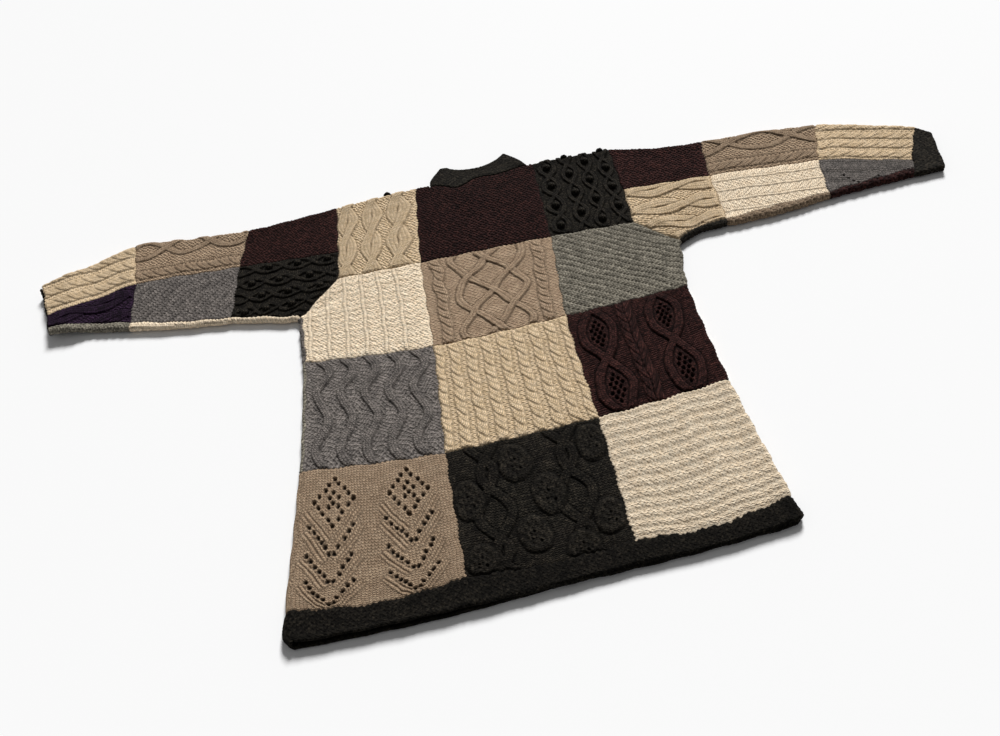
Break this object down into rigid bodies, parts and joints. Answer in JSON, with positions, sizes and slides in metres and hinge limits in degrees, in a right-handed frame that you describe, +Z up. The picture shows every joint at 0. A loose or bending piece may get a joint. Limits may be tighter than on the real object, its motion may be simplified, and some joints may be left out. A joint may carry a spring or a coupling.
{
  "type": "patchwork wool sweater",
  "caption": "Chunky hand-knit wool sweater of square patches in different Aran patterns, laid flat face down with its sleeves spread and its ribbed collar folded flat",
  "frame": {"origin": "On the surface that the sweater lies on, under the middle column of patches, halfway down the third row.", "axes": "+X runs from the left sleeve to the right sleeve as the back is seen, +Y from the hem to the collar, +Z up from the surface."},
  "size_m": [1.4622, 0.8095, 0.0186],
  "materials": {
    "cream_wool": "matte knitted wool",
    "ivory_wool": "matte knitted wool",
    "taupe_wool": "matte knitted wool",
    "mid_gray_wool": "matte knitted wool",
    "light_gray_wool": "matte knitted wool",
    "charcoal_wool": "matte knitted wool",
    "burgundy_wool": "matte knitted wool",
    "aubergine_wool": "matte knitted wool"
  },
  "bodies": {
    "root": {"back_r1_left": "cream_wool", "back_r1_center": "burgundy_wool", "back_r1_right": "charcoal_wool", "back_r2_left": "ivory_wool", "back_r2_center": "taupe_wool", "back_r2_right": "light_gray_wool", "back_r3_left": "mid_gray_wool", "back_r3_center": "cream_wool", "back_r3_right": "burgundy_wool", "back_r4_left": "taupe_wool", "back_r4_center": "charcoal_wool", "back_r4_right": "ivory_wool", "front_r1_left": "charcoal_wool", "front_r1_center": "ivory_wool", "front_r1_right": "cream_wool", "front_r2_left": "mid_gray_wool", "front_r2_center": "burgundy_wool", "front_r2_right": "charcoal_wool", "front_r3_left": "light_gray_wool", "front_r3_center": "taupe_wool", "front_r3_right": "ivory_wool", "front_r4_left": "taupe_wool", "front_r4_center": "cream_wool", "front_r4_right": "mid_gray_wool", "left_sleeve_a1": "burgundy_wool", "left_sleeve_a2": "taupe_wool", "left_sleeve_a3": "cream_wool", "left_sleeve_b1": "charcoal_wool", "left_sleeve_b2": "mid_gray_wool", "left_sleeve_b3": "aubergine_wool", "left_sleeve_c1": "ivory_wool", "left_sleeve_c2": "ivory_wool", "left_sleeve_c3": "light_gray_wool", "left_sleeve_d1": "taupe_wool", "left_sleeve_d2": "charcoal_wool", "left_sleeve_d3": "ivory_wool", "right_sleeve_a1": "burgundy_wool", "right_sleeve_a2": "taupe_wool", "right_sleeve_a3": "cream_wool", "right_sleeve_b1": "cream_wool", "right_sleeve_b2": "ivory_wool", "right_sleeve_b3": "mid_gray_wool", "right_sleeve_c1": "charcoal_wool", "right_sleeve_c2": "taupe_wool", "right_sleeve_c3": "burgundy_wool", "right_sleeve_d1": "light_gray_wool", "right_sleeve_d2": "cream_wool", "right_sleeve_d3": "charcoal_wool", "hem_back": "charcoal_wool", "hem_front": "charcoal_wool", "left_cuff_back": "charcoal_wool", "left_cuff_front": "charcoal_wool", "right_cuff_back": "charcoal_wool", "right_cuff_front": "charcoal_wool", "collar_back": "charcoal_wool", "collar_front": "charcoal_wool"}
  },
  "joints": []
}
